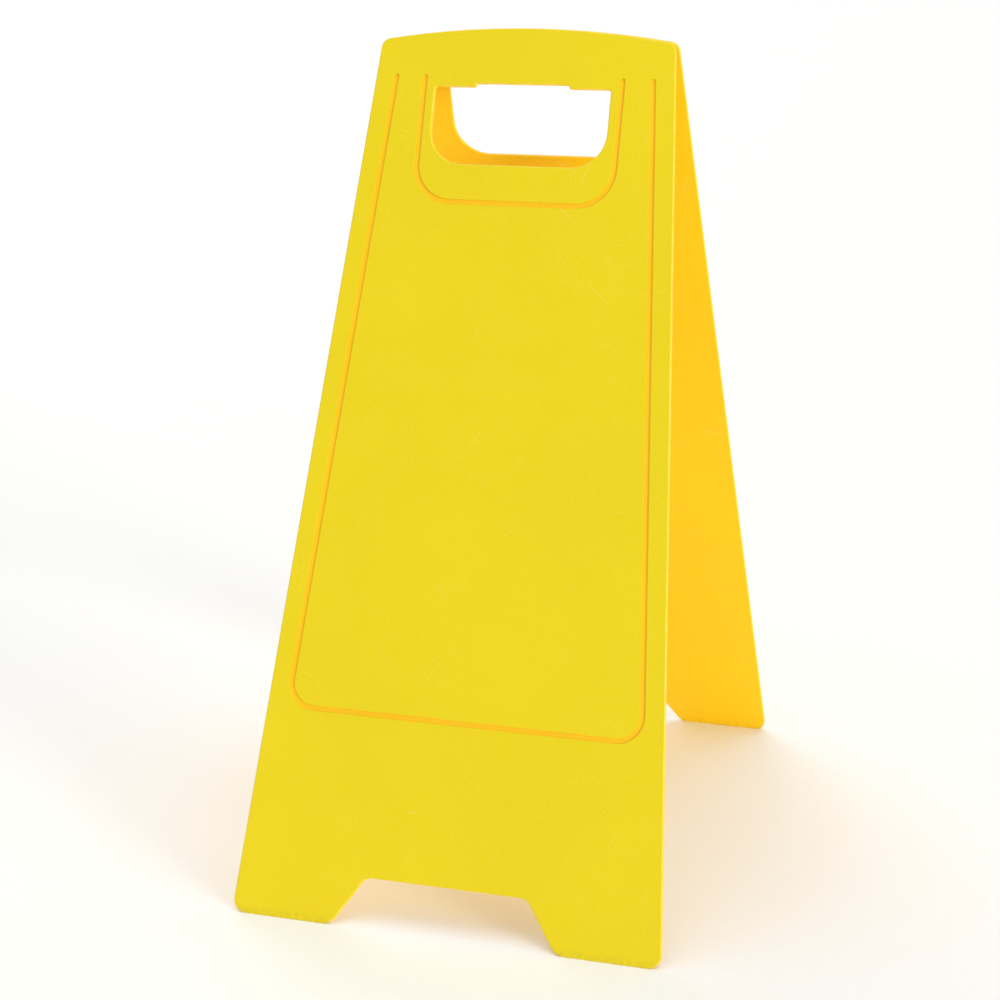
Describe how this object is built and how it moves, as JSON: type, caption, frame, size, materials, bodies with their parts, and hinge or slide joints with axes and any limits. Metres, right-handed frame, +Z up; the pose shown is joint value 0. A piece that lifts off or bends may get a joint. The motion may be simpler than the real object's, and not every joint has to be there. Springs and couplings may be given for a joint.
{
  "type": "wet floor sign",
  "caption": "Blank yellow folding A-frame floor sign, with tapered plastic leaves, a carrying grip with hand holes, cut-out feet and a pinned top hinge.",
  "frame": {"origin": "on the floor, midway between the four soles of the open sign, straight under the hinge", "axes": "+Z up, +X along the hinge axis; the front leaf stands on the -Y side and the rear leaf on the +Y side"},
  "size_m": [0.2984, 0.4302, 0.5823],
  "materials": {
    "yellow_polypropylene": "injection moulded, fine texture",
    "zinc_plated_pin": "bright zinc plate",
    "nylon_washer": "natural nylon",
    "spring_steel_nut": "phosphated spring steel"
  },
  "bodies": {
    "front": {"front_leaf": "yellow_polypropylene", "hinge_pin_left": "zinc_plated_pin", "pin_washer_left": "nylon_washer", "push_nut_left": "spring_steel_nut"},
    "rear": {"rear_leaf": "yellow_polypropylene", "hinge_pin_right": "zinc_plated_pin", "pin_washer_right": "nylon_washer", "push_nut_right": "spring_steel_nut"}
  },
  "joints": [
    {"name": "fold", "type": "hinge", "parent": "front", "child": "rear", "pos_m": [0, 0, 0.56504], "axis": [-1, 0, 0], "range_deg": [0, 40]}
  ]
}
